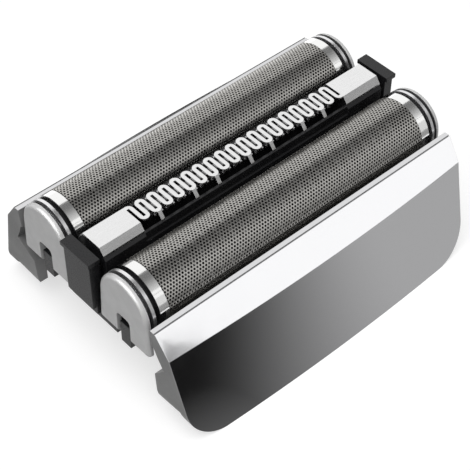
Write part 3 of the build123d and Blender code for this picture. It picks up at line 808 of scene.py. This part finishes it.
@dataclass
class Studio:
    """Floor, cards, lamps and camera round the head."""

    eye: Triple = (-77.906 * MM, -84.941 * MM, 127.924 * MM)
    target: Triple = (-0.197 * MM, 0.180 * MM, 4.416 * MM)
    roll: float = math.radians(0.488)
    lens: float = 103.65
    sensor: float = 36.0
    floor_size: float = 2.0
    floor_tone: float = 0.45
    floor_glow: float = 0.65
    ambient: float = 0.15
    card_lift: float = 0.02 * MM
    card_under: float = 1 * MM
    card_reach: float = 36 * MM
    card_half: float = 90 * MM
    card_tones: Pair = (0.012, 0.50)
    card_grade: Pair = (-24 * MM, 14 * MM)
    card_skew: float = math.radians(33.4)
    end_tone: float = 0.58
    foot_tone: float = 0.11
    foot_reach: float = 12 * MM
    screen_tone: float = 0.36
    screen_distance: float = 0.46
    screen_half: float = 0.5
    screen_core: float = 0.2
    screen_rise: Pair = (0.02, 0.33)
    far_tone: float = 0.3
    far_across: Pair = (-0.5, 0.5)
    far_end: float = -0.5
    flag_tones: Pair = (0.18, 0.6)
    flag_grade: Pair = (0.05, -0.45)
    flag_height: float = 0.5
    flag_across: Pair = (-0.1, 0.5)
    flag_deep: Pair = (-0.45, 0.2)
    clip_start: float = 0.01
    lamps: tuple[Softbox, ...] = (
        Softbox("panel_softbox", azimuth=36, elevation=17.2, distance=0.45, size=(0.30, 0.272),
                radiance=0.97, seen=Seen.MIRRORED, lit=PANELS),
        Softbox("panel_top_softbox", azimuth=36, elevation=37.2, distance=0.45, size=(0.30, 0.05),
                radiance=0.33, seen=Seen.MIRRORED, lit=PANELS),
        Softbox("foil_softbox", azimuth=36, elevation=13.1, distance=0.45, size=(0.666, 0.16),
                radiance=0.34, seen=Seen.MIRRORED, lit=FOILS),
        Softbox("foil_top_softbox", azimuth=36, elevation=28.8, distance=0.5, size=(0.666, 0.098),
                radiance=0.64, seen=Seen.MIRRORED, lit=FOILS),
        Softbox("foil_rear_softbox", azimuth=153, elevation=6, distance=0.07, size=(0.16, 0.03),
                radiance=0.65, seen=Seen.MIRRORED, lit=FOILS),
        Softbox("cap_softbox", azimuth=-100, elevation=38, distance=0.5, size=(0.8, 0.5),
                radiance=6.0, seen=Seen.MIRRORED, lit=CAPS),
        Softbox("top_softbox", azimuth=-60, elevation=72, distance=0.6, size=(0.5, 0.5),
                radiance=4.3, seen=Seen.UNMIRRORED),
    )

    def lay(self, mesh: bmesh.types.BMesh, name: str, material: bpy.types.Material, seen: Seen,
            ) -> None:
        """Adds a flat mesh to the stage.

        Args:
            mesh: The mesh, in its place; it is freed.
            name: Name of the new object.
            material: What it is made of.
            seen: Which rays meet it.
        """
        data = bpy.data.meshes.new(name)
        mesh.to_mesh(data)
        mesh.free()
        data.materials.append(material)
        plate = bpy.data.objects.new(name, data)
        bpy.context.scene.collection.objects.link(plate)
        if seen is Seen.MIRRORED:
            plate.visible_camera = False
            plate.visible_diffuse = False
            plate.visible_shadow = False
            plate.visible_transmission = False
        plate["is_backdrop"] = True

    @staticmethod
    def rectangle(across: Pair, deep: Pair, height: float) -> bmesh.types.BMesh:
        """Level rectangle.

        Args:
            across: Its span in X.
            deep: Its span in Y.
            height: Its Z.

        Returns:
            The mesh.
        """
        mesh = bmesh.new()
        bmesh.ops.create_grid(mesh, x_segments=1, y_segments=1, size=0.5)
        bmesh.ops.scale(mesh, vec=(across[1] - across[0], deep[1] - deep[0], 1.0),
                        verts=mesh.verts[:])
        middle = (sum(across) / 2, sum(deep) / 2, height)
        bmesh.ops.translate(mesh, vec=middle, verts=mesh.verts[:])
        return mesh

    def screen(self) -> bmesh.types.BMesh:
        """Upright screen to the front right, behind the lamps of panels and foils.

        Returns:
            The mesh.
        """
        mesh = self.rectangle((-self.screen_half, self.screen_half), self.screen_rise, 0)
        bmesh.ops.rotate(mesh, matrix=Matrix.Rotation(math.pi / 2, 3, "X"), verts=mesh.verts[:])
        bmesh.ops.translate(mesh, vec=(0, -self.screen_distance, 0), verts=mesh.verts[:])
        turn = Matrix.Rotation(math.radians(self.lamps[0].azimuth), 3, "Z")
        bmesh.ops.rotate(mesh, matrix=turn, verts=mesh.verts[:])
        return mesh

    def screen_cloth(self) -> bpy.types.Material:
        """Grey cloth of the screen, which fades to white towards both ends.

        Returns:
            The material.
        """
        board = self.card("front_screen")
        turn = math.radians(self.lamps[0].azimuth)
        across = board.towards((math.cos(turn), math.sin(turn), 0))
        left = board.span(across, (-self.screen_half, -self.screen_core),
                          (1.0, self.screen_tone), ease=True)
        right = board.span(across, (self.screen_core, self.screen_half),
                           (self.screen_tone, 1.0), ease=True)
        board.link(board.larger(left, right), board.shader.inputs["Emission Strength"])
        return board.material

    @staticmethod
    def background_share(tree: bpy.types.NodeTree) -> bpy.types.NodeSocket:
        """One for rays that show the background plainly: camera, glossy and transmission rays.

        Args:
            tree: Nodes to add to.

        Returns:
            The share, 0 or 1.
        """
        path = tree.nodes.new("ShaderNodeLightPath")
        share = path.outputs["Is Camera Ray"]
        for name in ("Is Glossy Ray", "Is Transmission Ray"):
            larger = tree.nodes.new("ShaderNodeMath")
            larger.operation = "MAXIMUM"
            tree.links.new(share, larger.inputs[0])
            tree.links.new(path.outputs[name], larger.inputs[1])
            share = larger.outputs["Value"]
        return share

    def floor_material(self) -> bpy.types.Material:
        """Pale floor that still takes the head's shadow.

        Returns:
            The material.
        """
        board = NodeBoard("studio_floor")
        board.set(Base_Color=(*grey(self.floor_tone), 1.0), Roughness=1.0)
        board.set(Specular_IOR_Level=0.0, Emission_Color=(*WHITE, 1.0))
        glow = board.span(self.background_share(board.tree), UNIT, (0, self.floor_glow))
        board.link(glow, board.shader.inputs["Emission Strength"])
        return board.material

    @staticmethod
    def card(name: str, tone: float = 0.0) -> NodeBoard:
        """Card of one tone that only metal and gloss mirror.

        Args:
            name: Name of the material.
            tone: Its brightness, where 1 is white.

        Returns:
            The board of the new material.
        """
        board = NodeBoard(name)
        board.set(Base_Color=(*BLACK, 1.0), Roughness=1.0, Specular_IOR_Level=0.0)
        board.set(Emission_Color=(*WHITE, 1.0), Emission_Strength=tone)
        return board

    def panel_card(self, name: str, turn: float) -> bpy.types.Material:
        """Card before a panel: dark at one end, light at the other, a little lit at its foot.

        Args:
            name: Name of the material.
            turn: 1 before the front panel, -1 before the rear one.

        Returns:
            The material.
        """
        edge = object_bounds()[1].y
        skew = math.tan(self.card_skew)
        board = self.card(name)
        dark, light = (end - skew * edge for end in self.card_grade)
        tone = board.span(board.towards((turn, turn * skew, 0)), (dark, light), self.card_tones,
                          ease=True)
        foot = board.span(board.along("Y"), (edge, edge + self.foot_reach), (self.foot_tone, 0))
        board.link(board.larger(tone, foot), board.shader.inputs["Emission Strength"])
        return board.material

    def flag(self) -> bpy.types.Material:
        """Grey cloth overhead that gets lighter towards the front.

        Returns:
            The material.
        """
        board = self.card("ceiling_flag")
        tone = board.span(board.towards((0, 1, 0)), self.flag_grade, self.flag_tones, ease=True)
        board.link(tone, board.shader.inputs["Emission Strength"])
        return board.material

    def stage(self) -> None:
        """Lays the floor, the cards on it, the flag overhead and the screen."""
        half = self.floor_size / 2
        self.lay(self.rectangle((-half, half), (-half, half), 0), "studio_floor",
                 self.floor_material(), Seen.ALL)
        low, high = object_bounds()
        under, reach, wide = self.card_under, self.card_reach, self.card_half
        plain = self.card("end_card", self.end_tone).material
        for name, across, deep, material in (
                ("front_card", (low.x + under, wide), (low.y - reach, low.y + under),
                 self.panel_card("front_card", 1.0)),
                ("rear_card", (-wide, high.x - under), (high.y - under, high.y + reach),
                 self.panel_card("rear_card", -1.0)),
                ("left_card", (-wide, low.x + under), (low.y - reach, high.y - under), plain),
                ("right_card", (high.x - under, wide), (low.y + under, high.y + reach), plain),
                ("far_card", self.far_across, (self.far_end, low.y - reach),
                 self.card("far_card", self.far_tone).material)):
            self.lay(self.rectangle(across, deep, self.card_lift), name, material, Seen.MIRRORED)
        self.lay(self.rectangle(self.flag_across, self.flag_deep, self.flag_height), "ceiling_flag",
                 self.flag(), Seen.MIRRORED)
        self.lay(self.screen(), "front_screen", self.screen_cloth(), Seen.MIRRORED)

    def world(self) -> None:
        """White surroundings that light the head softly."""
        world = bpy.data.worlds.new("studio")
        world.use_nodes = True
        tree = world.node_tree
        tree.nodes.clear()
        output = tree.nodes.new("ShaderNodeOutputWorld")
        background = tree.nodes.new("ShaderNodeBackground")
        background.inputs["Color"].default_value = (*WHITE, 1.0)
        strength = tree.nodes.new("ShaderNodeMapRange")
        strength.inputs["To Min"].default_value = self.ambient
        strength.inputs["To Max"].default_value = 1.0
        tree.links.new(self.background_share(tree), strength.inputs["Value"])
        tree.links.new(strength.outputs["Result"], background.inputs["Strength"])
        tree.links.new(background.outputs["Background"], output.inputs["Surface"])
        bpy.context.scene.world = world

    def camera(self) -> None:
        """Places the camera where the photograph was taken from."""
        data = bpy.data.cameras.new("photo_camera")
        data.sensor_width = self.sensor
        data.lens = self.lens
        data.clip_start = self.clip_start
        camera = bpy.data.objects.new("photo_camera", data)
        bpy.context.scene.collection.objects.link(camera)
        camera.location = self.eye
        aim = (Vector(self.target) - Vector(self.eye)).to_track_quat("-Z", "Y")
        camera.rotation_euler = (aim @ Quaternion((0, 0, 1), self.roll)).to_euler()
        bpy.context.scene.camera = camera

    def build(self) -> None:
        """Builds the whole studio."""
        self.stage()
        self.world()
        for lamp in self.lamps:
            lamp.hang()
        self.camera()
        bpy.context.scene.view_settings.view_transform = "Standard"


@dataclass(frozen=True)
class EdgeBreaks:
    """How far the edges of the solids are broken."""

    frame: float = 0.06 * MM
    trough: float = 0.05 * MM
    comb: float = 0.04 * MM
    panel: float = 0.06 * MM
    cap: float = 0.04 * MM

    def solids(self) -> list[SoftenedSolid]:
        """The solids that show with broken edges.

        Returns:
            The pieces to make, in order.
        """
        pieces = [SoftenedSolid("head_frame", "head_frame_moulding", self.frame),
                  SoftenedSolid("trimmer_carrier", "trimmer_trough", self.trough),
                  SoftenedSolid("trimmer_comb", "trimmer_comb_sheet", self.comb)]
        for side in Side:
            pieces.append(PanelMoulding(side.node("panel"), side.node("panel_moulding"),
                                        self.panel))
            for end in ENDS:
                pieces.append(SoftenedSolid(side.node(f"cap_{end}"),
                                            side.node(f"cap_{end}_moulding"), self.cap))
        return pieces


def main() -> None:
    """Dresses the solids, builds the new pieces and sets up the studio."""
    logging.basicConfig(level=logging.INFO, format="%(name)s: %(message)s")
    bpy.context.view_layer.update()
    wardrobe = Wardrobe()
    for node in frame["nodes"]:
        wardrobe.dress_node(node)
    for solid in EdgeBreaks().solids():
        solid.make(wardrobe)
    for side in Side:
        PerforatedFoil(side).make(wardrobe)
    Studio().build()


if __name__ == "__main__":
    main()
